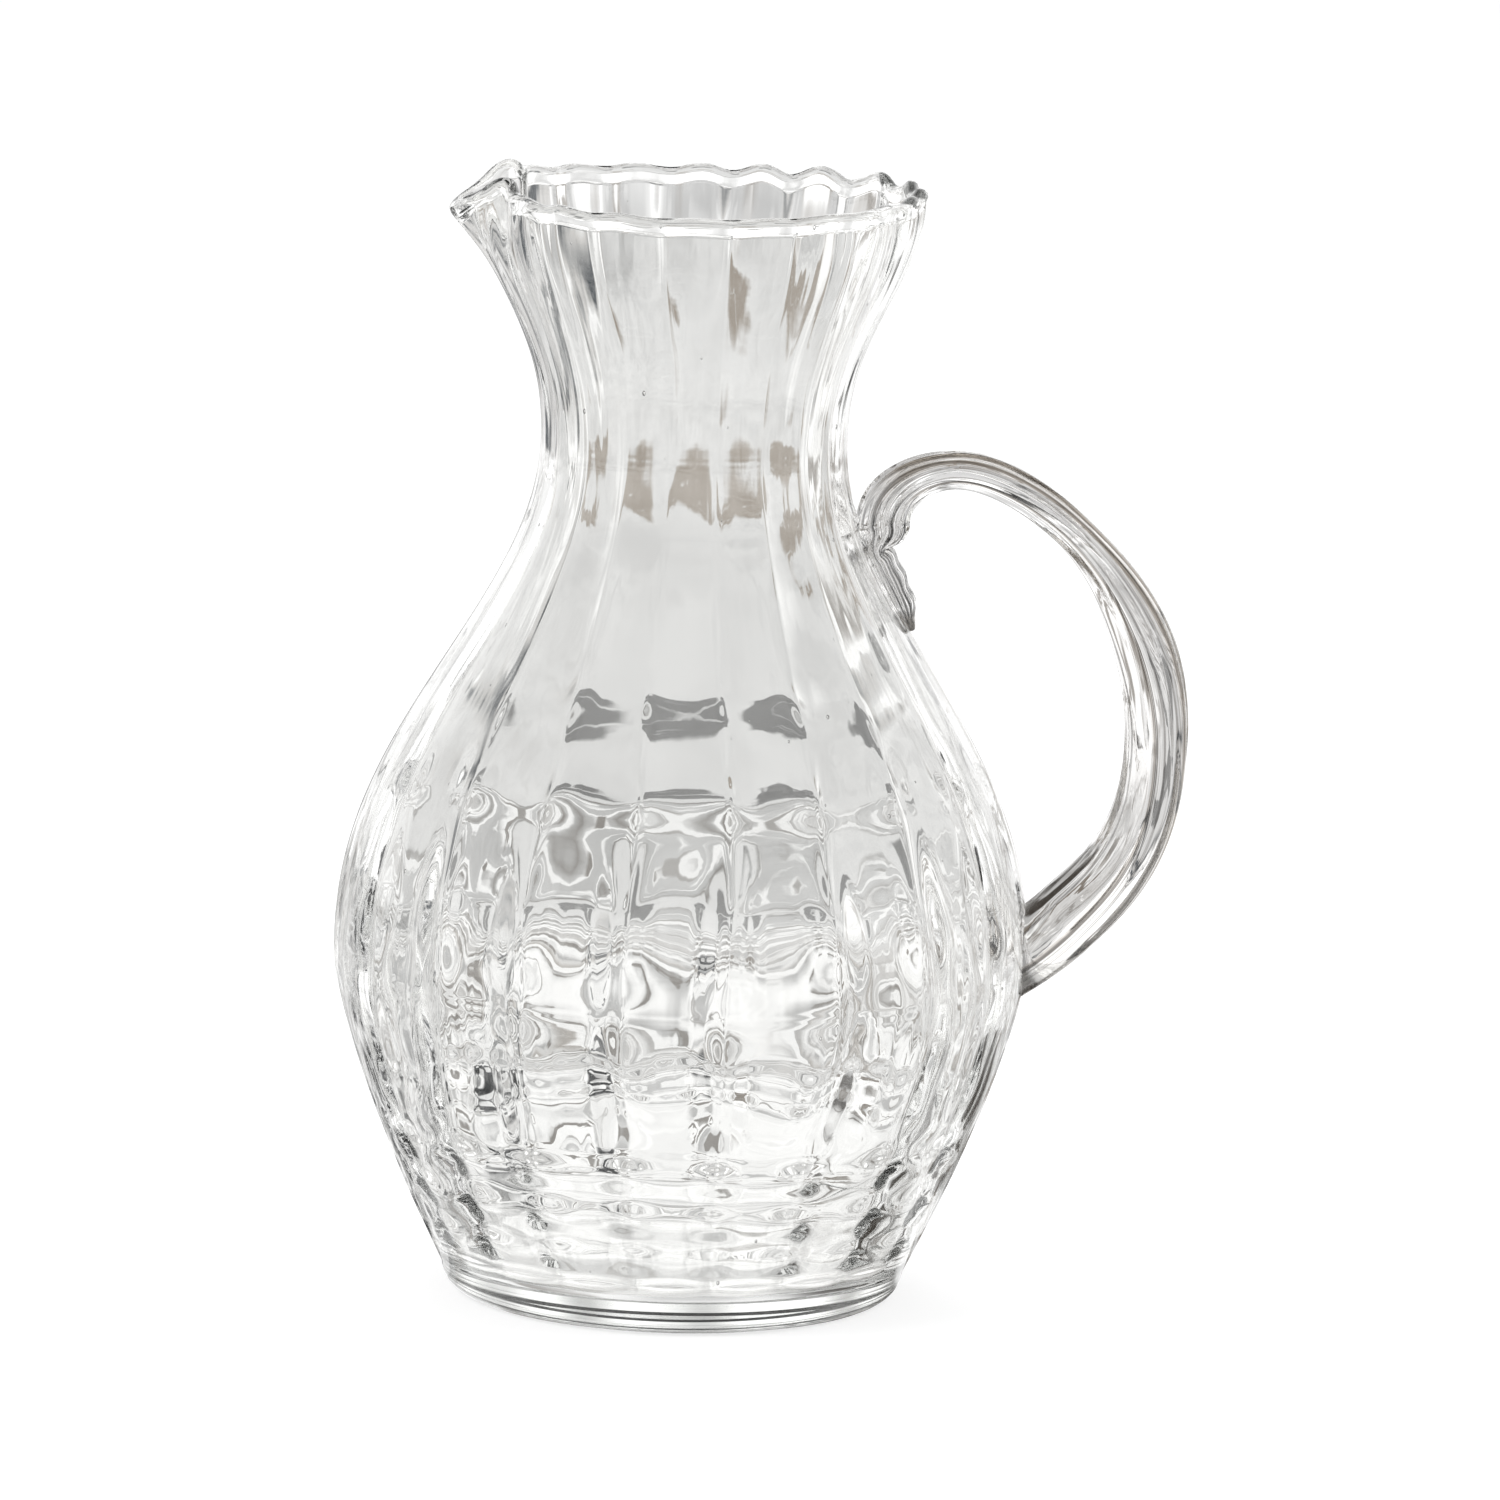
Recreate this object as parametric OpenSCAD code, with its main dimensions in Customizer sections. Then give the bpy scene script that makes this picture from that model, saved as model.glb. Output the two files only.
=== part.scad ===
// Hand-blown water carafe in clear glass, with optic ribs in its wall, a scalloped lip pulled into
// a short spout, a thick base, and an applied handle that ends in a crimped tail.
// Millimetres. The origin is the middle of the standing face, +Z is up, the handle is at +X and
// the spout is at -X.

/* [Body] */
// Height of the lip above the table, halfway between its crests and dips
body_h = 240; // [225:1:260]
// Outer radius at the fullest part of the belly
belly_r = 74.7; // [68:0.1:82]
// Height of the fullest part of the belly
belly_z = 73; // [66:1:80]
// Outer radius at the narrowest part of the neck
neck_r = 32.8; // [30:0.1:38]
// Height of the narrowest part of the neck
neck_z = 186; // [182:1:194]
// Outer radius of the mouth
mouth_r = 47.6; // [44:0.1:54]
// Height at which the flare of the mouth has turned upright
mouth_z = 238; // [225:1:250]
// Outer radius that the body's outline has at the table
base_r = 47.2; // [44:0.1:52]
// How slowly the outline leaves the belly on its way down
belly_fullness = 1.37; // [1.2:0.01:1.8]
// How early the shoulder draws in above the belly
shoulder_skew = 1.16; // [1:0.01:1.25]
// How late the mouth flares out above the neck
mouth_flare = 1.2; // [1:0.05:1.5]

/* [Glass] */
// Thickness of the wall
wall = 2.6; // [2.2:0.1:3.6]
// How much thicker the wall is where it leaves the base
heel_t = 3; // [1:0.1:4]
// Height over which that extra thickness thins away
heel_h = 14; // [8:1:24]
// Thickness of the base
base_t = 8; // [6:0.5:11]
// Radius of the rounded edge under the base
base_edge_r = 5.5; // [3:0.1:6.5]

/* [Optic] */
// Number of ribs round the body
rib_count = 20; // [12:2:28]
// Depth of the ribs on the inside of the wall, crest to trough
rib_in_d = 1.2; // [0.4:0.1:1.6]
// Depth of the ribs on the outside of the wall, crest to trough
rib_out_d = 0.6; // [0.1:0.1:0.9]
// Depth of the dimples that break up the ribs, crest to trough
dimple_d = 1; // [0.2:0.1:1.3]
// Height from one row of dimples to the next at the belly
dimple_pitch = 17.3; // [15:0.1:20]
// Height at which the dimples have faded out
dimple_end_z = 122; // [110:1:140]
// Height over which the ribs grow in above the base
rib_rise_h = 12; // [8:1:24]

/* [Lip] */
// Height of the thread of glass that makes the lip
lip_h = 2.8; // [2:0.1:4]
// How far the lip swells past the wall on each side
lip_swell = 0.4; // [0.1:0.05:0.7]
// Height from the dips of the lip to its crests
lip_wave_h = 2.2; // [0.5:0.1:3]
// How far the lip's crests lie outside its dips
lip_wave_r = 1; // [0:0.1:1.4]
// How far the lip rises at the handle and the spout above its two sides
lip_sway_h = 1.4; // [0:0.1:2.5]

/* [Spout] */
// How far the tip of the spout is pulled out past the mouth
spout_out = 8; // [4:0.2:10]
// How far the tip of the spout is pulled down
spout_dip = 4.6; // [2:0.2:6]
// Half the width of the spout
spout_half_w = 9; // [7:0.5:12]
// How far below the lip the spout reaches
spout_h = 11; // [8:1:18]
// How far the lip is pinched in on each side of the spout
pinch_in = 2; // [0:0.1:3.5]
// How far the pinched lip stands up beside the spout
pinch_up = 2.4; // [0:0.1:4]

/* [Handle] */
// Distance from the axis to the middle of the handle at its furthest
handle_reach = 101.2; // [96:0.2:106]
// Height of that furthest place
handle_reach_z = 124; // [118:1:130]
// Distance from the axis to the top of the handle's arch
arch_x = 57; // [53:0.5:61]
// Height of the middle of the handle at the top of its arch
arch_z = 181; // [178:0.5:185]
// Height of the middle of the seal on the belly
foot_z = 75.7; // [72:0.1:80]
// Thickness of the handle, across the arch, at its top
arch_t = 8.4; // [7:0.1:11]
// Thickness of the handle at its furthest
reach_t = 14; // [11:0.1:16]
// Thickness of the handle where it meets the seal on the belly
foot_t = 16.6; // [14:0.1:19]
// Width of the handle as a share of its thickness
handle_w_share = 1.15; // [1:0.05:1.4]
// Depth of the flutes along the handle
flute_d = 0.6; // [0.1:0.1:1]
// Number of flutes round the handle
flute_count = 8; // [6:1:10]
// Length of the seal on the belly, along the handle
seal_l = 11; // [8:0.5:14]
// How far the seal spreads past the handle where it lies on the belly
seal_spread = 1.2; // [0.5:0.1:3]

/* [Tail] */
// Height of the pinch between the handle's end and its tail
pinch_z = 163; // [160:0.5:166]
// Thickness of the handle's end where it is pressed to the shoulder
bulb_t = 12; // [10:0.2:14]
// Thickness left at the pinch
pinch_t = 4.6; // [3:0.1:7]
// Length of the tail below the pinch
tail_l = 17; // [13:0.5:22]
// Width of the tail
tail_w = 15; // [12:0.5:18]
// How far the tail stands off the wall
tail_t = 6.2; // [4.5:0.1:8]
// Thickness of the tail at its tip
tail_tip_t = 1.6; // [1:0.1:3]
// Number of crimp marks across the tail
crimp_count = 3; // [2:1:4]
// Depth of the crimp marks
crimp_d = 1.2; // [0.2:0.1:1.8]

/* [Hidden] */

clear_glass = [0.86, 0.9, 0.9, 0.45];
thick_glass = [0.76, 0.84, 0.83, 0.6];

// Columns round the body, and rows up its outside and above its dimples
columns = 4 * rib_count;
outer_rows = 16;
plain_rows = 7;
lip_steps = 5;
edge_steps = 6;

// Points round the handle, and rings along its tail, its rise, its arch and its fall
sides = 4 * flute_count;
tail_rings = 15;
rise_rings = 8;
arch_rings = 10;
fall_rings = 10;
seal_rings = 5;
patch_rings = 3;

// The waves of the lip fade out this quickly down the wall
wave_fade_power = 9;
// The dimples stretch with the glass: their pitch grows with the height to this power
dimple_stretch = 0.65;
quarter = 1 / 4;
// How strongly the handle's line holds its way as it leaves the bulb, the arch, its furthest
// place and the seal, as shares of the way to the next of them
rise_share = 0.55;
arch_share = 0.34;
reach_share = 0.6;
foot_share = 0.25;
// The handle swells between these shares of its way from the arch to its furthest place
swell_start_share = 0.42;
swell_end_share = 0.86;

// Place and width of the pinches beside the spout, as shares of its half width
spout_pinch_share = 2.1;
spout_pinch_w_share = 0.85;
spout_half_angle = atan(spout_half_w / mouth_r);

// The lip bulges out at this share of its height
lip_bulge_share = 0.35;
// The handle's end is pressed into the wall until this share of its thickness stands clear
press_share = 0.42;
// The tail keeps its thickness between these shares of its length, and is as wide from the first
tail_full_share = 0.55;
tail_waist_share = 0.9;
tail_tip_w_share = 0.35;
// The junction of tail and handle, as a share of the rise from the wall to the arch
junction_share = 0.5;
// The seal's sides leave the handle straight for this share of its length
seal_straight_share = 0.7;

tail_end_z = pinch_z - tail_l;
bulb_z = pinch_z + bulb_t / 2;
bulb_w = bulb_t * handle_w_share;
tail_last = tail_rings + round(junction_share * rise_rings);
rod_last = tail_rings + rise_rings + arch_rings + fall_rings;

function mix(a, b, t) = a + (b - a) * t;
function ease(a, b, t) = mix(a, b, (1 - cos(180 * t)) / 2);
function within(t) = max(0, min(1, t));
function bell(t) = exp(-t * t);

// Outer outline of the body: a full belly, a long shoulder and a flared mouth
function outline_r(z) =
    z < belly_z ? mix(belly_r, base_r, pow((belly_z - z) / belly_z, belly_fullness))
    : z < neck_z ? ease(belly_r, neck_r, pow((z - belly_z) / (neck_z - belly_z), shoulder_skew))
    : ease(neck_r, mouth_r, pow(within((z - neck_z) / (mouth_z - neck_z)), mouth_flare));
function wall_t(z) = wall + heel_t * exp(-(z - base_t) / heel_h);

// Ribs run the whole height, and rows of dimples swell and pinch them low on the body
function rib_wave(a) = cos(rib_count * a);
function rib_growth(z) = ease(0, 1, within((z - base_t) / rib_rise_h));
function dimple_growth(z) =
    rib_growth(z) * ease(1, 0, within((z - belly_z) / (dimple_end_z - belly_z)));
function dimple_rows_below(z) =
    belly_z / dimple_pitch * pow(z / belly_z, 1 - dimple_stretch) / (1 - dimple_stretch);
function dimple_row_z(row) =
    belly_z * pow(row * (1 - dimple_stretch) * dimple_pitch / belly_z, 1 / (1 - dimple_stretch));
function outer_relief(z, a) = rib_out_d / 2 * rib_growth(z) * rib_wave(a);
function inner_relief(z, a) =
    (rib_in_d * rib_growth(z) + dimple_d * dimple_growth(z) * cos(360 * dimple_rows_below(z)))
    * rib_wave(a) / 2;

// The spout and the pinches beside it, by the angle from its middle
function off_spout(a) = abs((a + 360) % 360 - 180);
function tip(a) = bell(off_spout(a) / spout_half_angle);
function side_pinch(a) =
    bell((off_spout(a) / spout_half_angle - spout_pinch_share) / spout_pinch_w_share);
function mouth_shift(z, a) =
    bell(max(0, body_h - z) / spout_h) * (spout_out * tip(a) - pinch_in * side_pinch(a))
    + lip_wave_r / 2 * rib_wave(a) * pow(within(z / body_h), wave_fade_power);

// Height of the lip's seam on the wall, at each angle
function lip_seam(a) =
    body_h - lip_h + lip_wave_h / 2 * rib_wave(a) * (1 - tip(a)) + lip_sway_h / 2 * cos(2 * a)
    - spout_dip * tip(a) + pinch_up * side_pinch(a);

// Radii of the two faces of the wall, and a point at a radius, angle and height
function outer_at(z, a) = outline_r(z) + outer_relief(z, a) + mouth_shift(z, a);
function inner_at(z, a) = outline_r(z) - wall_t(z) + inner_relief(z, a) + mouth_shift(z, a);
function place(r, a, z) = [r * cos(a), r * sin(a), z];

// A level row below the mouth bends with the lip's scallops as it nears the seam
seam_z = body_h - lip_h;
function bent(z, a) = z + (lip_seam(a) - seam_z) * pow(z / seam_z, wave_fade_power);

// Levels up the wall: evenly outside, and inside four to each row of dimples
outer_levels = [for (i = [0:outer_rows]) mix(base_t, seam_z, i / outer_rows)];
first_row = ceil(dimple_rows_below(base_t) / quarter + quarter) * quarter;
last_row = floor(dimple_rows_below(dimple_end_z) / quarter) * quarter;
inner_levels = concat([base_t], [for (row = [first_row:quarter:last_row]) dimple_row_z(row)],
    [for (i = [1:plain_rows]) mix(dimple_row_z(last_row), seam_z, i / plain_rows)]);
angles = [for (j = [0:columns - 1]) 360 * j / columns];

// Two triangles for each cell between one ring of points and the next
function cell_faces(first, next, count) =
    [for (j = [0:count - 1]) let (k = (j + 1) % count)
        each [[first + j, next + j, first + k], [first + k, next + j, next + k]]];

// A closed band of glass: each ring of points is joined to the next, and the last to the first
module band(rings) {
    count = len(rings[0]);
    faces = [for (i = [0:len(rings) - 1])
        each cell_faces(i * count, (i + 1) % len(rings) * count, count)];
    polyhedron([for (ring = rings) each ring], faces);
}

// A closed rod of glass through rings of points, with a middle point on each end
module rod(rings, start, end) {
    count = len(rings[0]);
    last = (len(rings) - 1) * count;
    walls = [for (i = [0:len(rings) - 2]) each cell_faces(i * count, (i + 1) * count, count)];
    ends = [for (j = [0:count - 1]) let (k = (j + 1) % count)
        each [[j, k, last + count], [last + k, last + j, last + count + 1]]];
    polyhedron(concat([for (ring = rings) each ring], [start, end]), concat(walls, ends));
}

// The blown bubble, open at both ends: outside upwards, then inside down again
module body_wall() {
    outside = [for (level = outer_levels)
        [for (a = angles) let (z = bent(level, a)) place(outer_at(z, a), a, z)]];
    inside = [for (i = [len(inner_levels) - 1:-1:0])
        [for (a = angles) let (z = bent(inner_levels[i], a)) place(inner_at(z, a), a, z)]];
    color(clear_glass) band(concat(outside, inside));
}

// The thick base carries the body's outline down to a rounded standing edge
module base_disc() {
    edge_r = outline_r(base_edge_r) - base_edge_r;
    edge = [for (i = [0:edge_steps]) let (turn = 90 * i / edge_steps)
        [edge_r + base_edge_r * sin(turn), base_edge_r * (1 - cos(turn))]];
    side = [for (i = [1:edge_steps]) let (z = mix(base_edge_r, base_t, i / edge_steps))
        [outline_r(z), z]];
    color(thick_glass) rotate_extrude($fn = columns)
        polygon(concat([[0, 0]], edge, side, [[0, base_t]]));
}

// The lip: a thread of glass on the wall's edge, melted round, that follows its scallops
module lip_wrap() {
    outside = [for (a = angles) let (z = lip_seam(a)) place(outer_at(z, a), a, z)];
    inside = [for (a = angles) let (z = lip_seam(a)) place(inner_at(z, a), a, z)];
    crown = [for (i = [0:lip_steps]) let (turn = 180 * i / lip_steps)
        [for (a = angles)
            let (z = lip_seam(a), middle = mix(inner_at(z, a), outer_at(z, a), 1 / 2),
                half_t = outer_at(z, a) - middle + lip_swell)
            place(middle + half_t * cos(turn), a, z + lip_h * mix(lip_bulge_share, 1, sin(turn)))]];
    color(thick_glass) band(concat([outside], crown, [inside]));
}

// The handle is one rod, drawn in the plane of the spout. A station of it is
// [x, z, thickness on the wall's side, thickness on the open side, width, flute depth]
function curve(a, b, c, d, t) =
    a * pow(1 - t, 3) + b * 3 * t * pow(1 - t, 2) + c * 3 * t * t * (1 - t) + d * pow(t, 3);

function tail_full_t(u) =
    u < tail_full_share ? mix(tail_tip_t, tail_t, sin(90 * u / tail_full_share))
    : u < tail_waist_share ? tail_t
    : u < 1 ? ease(tail_t, pinch_t, (u - tail_waist_share) / (1 - tail_waist_share))
    : ease(pinch_t, bulb_t, (u - 1) * tail_l / (bulb_z - pinch_z));
function crimps(u) = u < 1 ? crimp_d * sin(180 * u) * (1 - cos(360 * crimp_count * u)) / 2 : 0;
function tail_station(t) =
    let (z = mix(tail_end_z, bulb_z, t), u = (z - tail_end_z) / tail_l, full_t = tail_full_t(u))
    [outline_r(z) + press_share * full_t, z, full_t, full_t - crimps(u),
        u < 1 ? mix(tail_tip_w_share * tail_w, tail_w, sin(90 * within(u / tail_full_share)))
        : ease(tail_w, bulb_w, (u - 1) * tail_l / (bulb_z - pinch_z)), 0];

bulb = [outline_r(bulb_z) + press_share * bulb_t, bulb_z];
arch = [arch_x, arch_z];
reach = [handle_reach, handle_reach_z];
fall_way = [-1, -1] / sqrt(2);
foot = [outline_r(foot_z), foot_z] - seal_l * fall_way;
function drawn(p, t, flute) = [p.x, p.y, t, t, t * handle_w_share, flute];
function rise_station(t) =
    drawn(curve(bulb, bulb + [0, rise_share * (arch_z - bulb_z)],
        arch - [rise_share * (arch_x - bulb.x), 0], arch, t), ease(bulb_t, arch_t, t), flute_d * t);
function arch_station(t) =
    drawn(curve(arch, arch + [arch_share * (handle_reach - arch_x), 0],
        reach + [0, reach_share * (arch_z - handle_reach_z)], reach, t),
        ease(arch_t, reach_t,
            within((t - swell_start_share) / (swell_end_share - swell_start_share))), flute_d);
function fall_station(t) =
    drawn(curve(reach, reach - [0, reach_share * (handle_reach_z - foot.y)],
        foot - foot_share * norm(reach - foot) * fall_way, foot, t),
        ease(reach_t, foot_t, t), flute_d);

stations = concat([for (i = [0:tail_rings - 1]) tail_station(i / tail_rings)],
    [for (i = [0:rise_rings - 1]) rise_station(i / rise_rings)],
    [for (i = [0:arch_rings - 1]) arch_station(i / arch_rings)],
    [for (i = [0:fall_rings]) fall_station(i / fall_rings)]);

// A point that would lie inside the wall is pressed out onto its surface
function pressed(p) =
    let (a = atan2(p.y, p.x), r = outer_at(p.z, a))
    norm([p.x, p.y]) < r ? place(r, a, p.z) : p;

// A ring across the rod, starting on its open side. Its way is taken from its neighbours
function station_way(i) =
    let (a = stations[max(0, i - 1)], b = stations[min(rod_last, i + 1)],
        way = i == rod_last ? fall_way : [b[0] - a[0], b[1] - a[1]])
    way / norm(way);
function rod_ring(i) =
    let (s = stations[i], way = station_way(i))
    [for (j = [0:sides - 1])
        let (turn = 360 * j / sides, t = cos(turn) < 0 ? s[2] : s[3],
            flute = 1 - s[5] / s[2] * (1 - cos(flute_count * turn)),
            across = t / 2 * flute * cos(turn))
        pressed([s[0] + across * way.y, s[4] / 2 * flute * sin(turn), s[1] - across * way.x])];
function rod_middle(i) = [stations[i][0], 0, stations[i][1]];

module handle() {
    color(clear_glass) rod([for (i = [tail_last:rod_last]) rod_ring(i)],
        rod_middle(tail_last), rod_middle(rod_last));
}

module handle_tail() {
    color(thick_glass) rod([for (i = [0:tail_last]) rod_ring(i)],
        pressed([outline_r(tail_end_z), 0, tail_end_z]), rod_middle(tail_last));
}

// The seal flares from the handle's last ring onto an oval patch of the belly
function patch_ring(share) =
    let (half_h = share * (foot_t / 2 + seal_spread),
        half_w = share * (foot_t * handle_w_share / 2 + seal_spread))
    [for (j = [0:sides - 1])
        let (turn = 360 * j / sides, z = foot_z + half_h * cos(turn),
            a = asin(half_w * sin(turn) / outline_r(z)))
        place(outer_at(z, a), a, z)];

module lower_seal() {
    start = rod_ring(rod_last);
    patch = patch_ring(1);
    way = seal_l * seal_straight_share * [fall_way.x, 0, fall_way.y];
    flare = [for (i = [0:seal_rings]) let (t = i / seal_rings)
        [for (j = [0:sides - 1])
            pressed(mix(mix(start[j], start[j] + way, t), mix(start[j] + way, patch[j], t), t))]];
    cap = [for (i = [1:patch_rings - 1]) patch_ring(1 - i / patch_rings)];
    color(thick_glass) rod(concat(flare, cap), rod_middle(rod_last),
        place(outer_at(foot_z, 0), 0, foot_z));
}

body_wall();
base_disc();
lip_wrap();
handle();
handle_tail();
lower_seal();
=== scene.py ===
"""The look of the hand-blown water carafe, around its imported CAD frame.

Sizes are in millimetres until a mesh is made, which is in metres. The origin is the middle of the
standing face, +Z is up, the handle is at +X and the spout at -X.
"""

import bpy
import numpy as np
from mathutils import Matrix, Vector


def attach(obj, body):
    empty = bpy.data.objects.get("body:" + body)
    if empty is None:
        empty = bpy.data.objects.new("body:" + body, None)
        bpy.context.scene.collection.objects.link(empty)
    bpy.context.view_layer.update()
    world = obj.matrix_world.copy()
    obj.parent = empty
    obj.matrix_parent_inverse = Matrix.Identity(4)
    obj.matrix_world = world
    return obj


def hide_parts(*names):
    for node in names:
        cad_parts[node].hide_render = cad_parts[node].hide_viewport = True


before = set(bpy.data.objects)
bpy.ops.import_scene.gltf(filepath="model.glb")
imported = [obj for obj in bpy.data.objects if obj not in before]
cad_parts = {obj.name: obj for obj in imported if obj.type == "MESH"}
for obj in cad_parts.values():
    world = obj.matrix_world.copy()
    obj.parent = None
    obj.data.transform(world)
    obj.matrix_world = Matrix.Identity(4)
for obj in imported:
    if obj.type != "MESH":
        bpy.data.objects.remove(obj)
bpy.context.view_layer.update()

MM = 0.001

# The jug's own sizes

# In millimetres. A name that ends in SHARE, SHARES, FULLNESS, SKEW, FLARE, BULGE, PRESS or FADE is
# a plain number, and so are the counts of ribs and crimps.
BODY_H = 240
BELLY_R, BELLY_Z, BELLY_FULLNESS = 74.7, 73, 1.37
NECK_R, NECK_Z, SHOULDER_SKEW = 32.8, 186, 1.16
MOUTH_R, MOUTH_Z, MOUTH_FLARE = 47.6, 238, 1.2
BASE_R, BASE_T, BASE_EDGE_R = 47.2, 8, 5.5
WALL, HEEL_T, HEEL_H = 2.6, 3, 14

RIBS = 20
RIB_IN_D, RIB_OUT_D, DIMPLE_D = 0.9, 0.5, 0.3
RIB_RISE_H = 12
RIB_HEIGHTS_Z, RIB_SHARES = (80, 132, 170, 205, 232), (1, 0.3, 0.2, 0.1, 0.5)
# The heights of the rows of dimples, close together at the heel and stretched over the belly where
# the bubble was blown widest, and the shares of their full depth at some heights.
DIMPLE_ROWS_Z = (1, 12, 22, 32.5, 43, 75, 110, 129, 158, 180, 202)
RING_HEIGHTS_Z = (1, 12, 22, 43, 59, 75, 92, 110, 129, 158, 200)
RING_SHARES = (0, 1, 1.3, 1.3, 0.9, 1.5, 1.3, 0.9, 0.35, 0.12, 0)

LIP_H, LIP_SWELL, LIP_BULGE = 2.8, 0.4, 0.35
LIP_WAVE_H, LIP_WAVE_R, LIP_SWAY_H = 2.2, 1.0, 1.4
WAVE_FADE = 9
# Where the lip's tallest scallop is and how far that reaches, in radians.
TALLEST_AT, TALLEST_W = 0.9, 0.8
SPOUT_OUT, SPOUT_DIP, SPOUT_HALF_W, SPOUT_H = 8, 4.6, 9, 11
PINCH_IN, PINCH_UP, PINCH_SHARE, PINCH_W_SHARE = 2, 2.4, 2.1, 0.85

HANDLE_REACH, HANDLE_REACH_Z = 101.2, 124
ARCH_X, ARCH_Z, FOOT_Z = 57, 181, 75.7
ARCH_T, REACH_T, FOOT_T = 8.4, 14, 16.6
W_SHARE = 1.15
SEAL_L, SEAL_SPREAD = 11, 1.2
PINCH_Z, BULB_T, PINCH_T = 163, 12, 4.6
TAIL_L, TAIL_W, TAIL_T, TAIL_TIP_T = 17, 15, 6.2, 1.6
TAIL_FULL_SHARE, TAIL_NIP_SHARE, TAIL_TIP_W_SHARE = 0.55, 0.9, 0.35
CRIMPS, CRIMP_D = 3, 1.2
PRESS = 0.42
BULB_Z = PINCH_Z + BULB_T / 2
TAIL_END_Z = PINCH_Z - TAIL_L

TURN = 2 * np.pi


def mix(a, b, t):
    return a + (b - a) * t


def ease(a, b, t):
    return mix(a, b, (1 - np.cos(np.pi * t)) / 2)


def within(t):
    return np.clip(t, 0, 1)


def bell(t):
    return np.exp(-t * t)


# The form of the body

def outline_r(z):
    """Outer radius of the body at a height: full belly, long shoulder, flared mouth."""
    z = np.asarray(z, float)
    low = mix(BELLY_R, BASE_R, within((BELLY_Z - z) / BELLY_Z) ** BELLY_FULLNESS)
    mid = ease(BELLY_R, NECK_R, within((z - BELLY_Z) / (NECK_Z - BELLY_Z)) ** SHOULDER_SKEW)
    top = ease(NECK_R, MOUTH_R, within((z - NECK_Z) / (MOUTH_Z - NECK_Z)) ** MOUTH_FLARE)
    return np.where(z < BELLY_Z, low, np.where(z < NECK_Z, mid, top))


def wall_t(z):
    """The wall's thickness: even above, and thick at the heel where the glass gathered."""
    return WALL + HEEL_T * np.exp(-(z - BASE_T) / HEEL_H)


def rib_growth(z):
    """The relief grows from nothing at the inner floor."""
    return ease(0, 1, within((z - BASE_T) / RIB_RISE_H))


def eased(z, places, values):
    """Values at some heights, joined by smooth steps."""
    step = np.interp(z, places, np.arange(len(places)))
    below = np.minimum(step.astype(int), len(places) - 2)
    values = np.asarray(values, float)
    return ease(values[below], values[below + 1], step - below)


def ring_depth(z):
    """Deep rings on the belly, which thin out over the shoulder."""
    return rib_growth(z) * eased(z, RING_HEIGHTS_Z, RING_SHARES)


def rib_depth(z):
    """The ribs were drawn thin over the shoulder and the neck, and end thick at the lip."""
    return rib_growth(z) * eased(z, RIB_HEIGHTS_Z, RIB_SHARES)


def dimple_rows_below(z):
    return np.interp(z, DIMPLE_ROWS_Z, np.arange(len(DIMPLE_ROWS_Z)))


def rib_wave(a):
    return np.cos(RIBS * a)


def off_spout(a):
    """How far round from the spout's middle an angle is, in half widths of the spout."""
    return np.abs(a % TURN - np.pi) / np.arctan(SPOUT_HALF_W / MOUTH_R)


def tip(a):
    return bell(off_spout(a))


def side_pinch(a):
    return bell((off_spout(a) - PINCH_SHARE) / PINCH_W_SHARE)


def mouth_shift(z, a):
    """How far the wall moves out where the spout is pulled, and in at the pinches beside it."""
    pulled = SPOUT_OUT * tip(a) - PINCH_IN * side_pinch(a)
    waved = LIP_WAVE_R / 2 * rib_wave(a) * within(z / BODY_H) ** WAVE_FADE
    return bell(np.maximum(0, BODY_H - z) / SPOUT_H) * pulled + waved


def scallop(a):
    """The lip's scallops: no two alike, and tallest at the back on the handle's side."""
    off_tallest = (a - TALLEST_AT + np.pi) % TURN - np.pi
    height = 0.32 + 0.7 * bell(off_tallest / TALLEST_W) + 0.18 * np.sin(2 * a + 1)
    uneven = 0.8 * np.sin(3 * a + 0.5) + 0.6 * np.sin(5 * a)
    return height * np.cos(RIBS * a + uneven)


def lip_seam(a):
    """The height at which the lip's rounded thread begins."""
    return (BODY_H - LIP_H + LIP_WAVE_H / 2 * scallop(a) * (1 - tip(a))
            + LIP_SWAY_H / 2 * np.cos(2 * a) - SPOUT_DIP * tip(a) + PINCH_UP * side_pinch(a))


SEAM_Z = BODY_H - LIP_H


def bent(z, a):
    """A level row bends with the lip's scallops as it nears the seam."""
    return z + (lip_seam(a) - SEAM_Z) * (z / SEAM_Z) ** WAVE_FADE


def outer_face(z, a):
    return outline_r(z) + mouth_shift(z, a)


def outer_at(z, a):
    """The outer face with its ribs, on which the handle sits."""
    return outer_face(z, a) + RIB_OUT_D / 2 * rib_depth(z) * rib_wave(a)


# Small helpers for Blender

def linear(code):
    """An sRGB hex value as a linear colour."""
    values = [int(code[i:i + 2], 16) / 255 for i in (0, 2, 4)]
    return [v / 12.92 if v <= 0.04045 else ((v + 0.055) / 1.055) ** 2.4 for v in values] + [1.0]


def add(tree, kind, links=(), **settings):
    """A node with its settings, a ramp's stops among them. Its inputs, by name or in the order of
    those in use, are set to values or joined to sockets. A node in the place of a socket stands
    for its first output."""
    made = tree.nodes.new(kind)
    for name, value in settings.items():
        if name != "stops":
            setattr(made, name, value)
            continue
        band = made.color_ramp.elements
        while len(band) < len(value):
            band.new(1.0)
        for element, (place, colour) in zip(band, value):
            element.position, element.color = place, colour
    for key, value in links.items() if isinstance(links, dict) else enumerate(links):
        if isinstance(value, bpy.types.Node):
            value = [socket for socket in value.outputs if socket.enabled][0]
        entry = made.inputs[key] if isinstance(key, str) else [
            socket for socket in made.inputs if socket.enabled][key]
        if isinstance(value, bpy.types.NodeSocket):
            tree.links.new(value, entry)
        else:
            entry.default_value = value
    return made


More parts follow.
